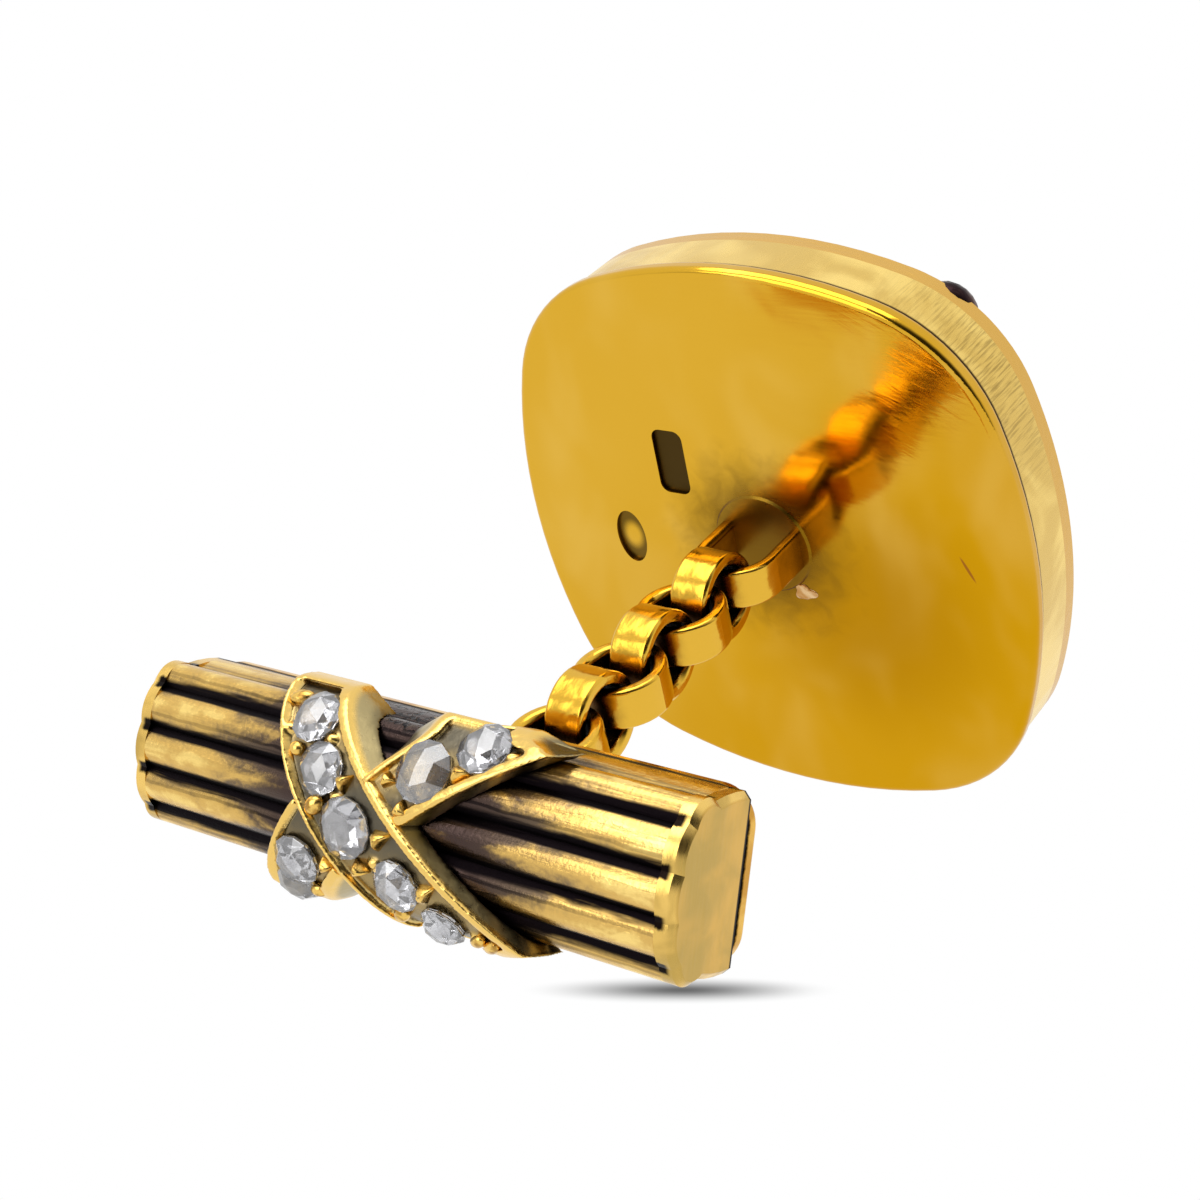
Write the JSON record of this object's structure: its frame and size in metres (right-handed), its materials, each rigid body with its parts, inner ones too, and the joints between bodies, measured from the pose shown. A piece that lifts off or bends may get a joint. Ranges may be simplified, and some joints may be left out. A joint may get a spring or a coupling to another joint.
{
  "type": "cufflink",
  "caption": "Cufflink with a hollow cushion-shaped head and a reeded toggle bar crossed by a stone-set ribbon, joined by a chain of flat-band rings.",
  "frame": {"origin": "middle of the head's back plate, on its outer face, which bears on the cuff", "axes": "+Z through the head to its decorated face, +X along the toggle bar, the chain hangs along -Z"},
  "size_m": [0.017, 0.0174, 0.022],
  "materials": {
    "polished_gold": "polished yellow gold",
    "chain_gold": "polished yellow gold, worn",
    "ribbon_gold": "darkened gold with bright rims",
    "antique_gold": "satin gold, dark in the grooves",
    "solder": "grey hard solder",
    "rose_stone": "rose-cut clear stone"
  },
  "bodies": {
    "head": {"head_back_plate": "polished_gold", "head_face_plate": "antique_gold", "head_ribbon_left": "ribbon_gold", "head_ribbon_over": "ribbon_gold", "head_ribbon_right": "ribbon_gold", "head_shank": "chain_gold", "head_side_wall": "polished_gold", "head_stone_1": "rose_stone", "head_stone_2": "rose_stone", "head_stone_3": "rose_stone", "head_stone_4": "rose_stone", "head_stone_5": "rose_stone", "head_stone_6": "rose_stone", "head_stone_7": "rose_stone", "head_stone_8": "rose_stone", "head_stone_9": "rose_stone", "shank_seat": "solder"},
    "link_1": {"chain_link_1": "chain_gold"},
    "link_2": {"chain_link_2": "chain_gold"},
    "link_3": {"chain_link_3": "chain_gold"},
    "link_4": {"chain_link_4": "chain_gold"},
    "link_5": {"chain_link_5": "chain_gold"},
    "link_6": {"chain_link_6": "chain_gold"},
    "link_7": {"chain_link_7": "chain_gold"},
    "bar": {"bar_back_plate": "polished_gold", "bar_end_left": "antique_gold", "bar_end_right": "antique_gold", "bar_loop": "chain_gold", "bar_ribbon_left": "ribbon_gold", "bar_ribbon_over": "ribbon_gold", "bar_ribbon_right": "ribbon_gold", "bar_shell": "antique_gold", "bar_stone_1": "rose_stone", "bar_stone_2": "rose_stone", "bar_stone_3": "rose_stone", "bar_stone_4": "rose_stone", "bar_stone_5": "rose_stone", "bar_stone_6": "rose_stone", "bar_stone_7": "rose_stone", "bar_stone_8": "rose_stone", "bar_stone_9": "rose_stone"}
  },
  "joints": [
    {"name": "link_1_swing", "type": "hinge", "parent": "head", "child": "link_1", "pos_m": [0, 0, -0.00134], "axis": [0, 1, 0], "range_deg": [-30, 30]},
    {"name": "link_2_swing", "type": "hinge", "parent": "link_1", "child": "link_2", "pos_m": [0, 0, -0.00286], "axis": [1, 0, 0], "range_deg": [-30, 30]},
    {"name": "link_3_swing", "type": "hinge", "parent": "link_2", "child": "link_3", "pos_m": [0, 0, -0.00439], "axis": [0, -1, 0], "range_deg": [-30, 30]},
    {"name": "link_4_swing", "type": "hinge", "parent": "link_3", "child": "link_4", "pos_m": [0, 0, -0.00591], "axis": [-1, 0, 0], "range_deg": [-30, 30]},
    {"name": "link_5_swing", "type": "hinge", "parent": "link_4", "child": "link_5", "pos_m": [0, 0, -0.00744], "axis": [0, 1, 0], "range_deg": [-30, 30]},
    {"name": "link_6_swing", "type": "hinge", "parent": "link_5", "child": "link_6", "pos_m": [0, 0, -0.00896], "axis": [1, 0, 0], "range_deg": [-30, 30]},
    {"name": "link_7_toggle", "type": "hinge", "parent": "link_6", "child": "link_7", "pos_m": [0, 0, -0.01049], "axis": [0, -1, 0], "range_deg": [-40, 40]},
    {"name": "bar_roll", "type": "hinge", "parent": "link_7", "child": "bar", "pos_m": [0, 0, -0.01201], "axis": [1, 0, 0], "range_deg": [-20, 60]}
  ]
}
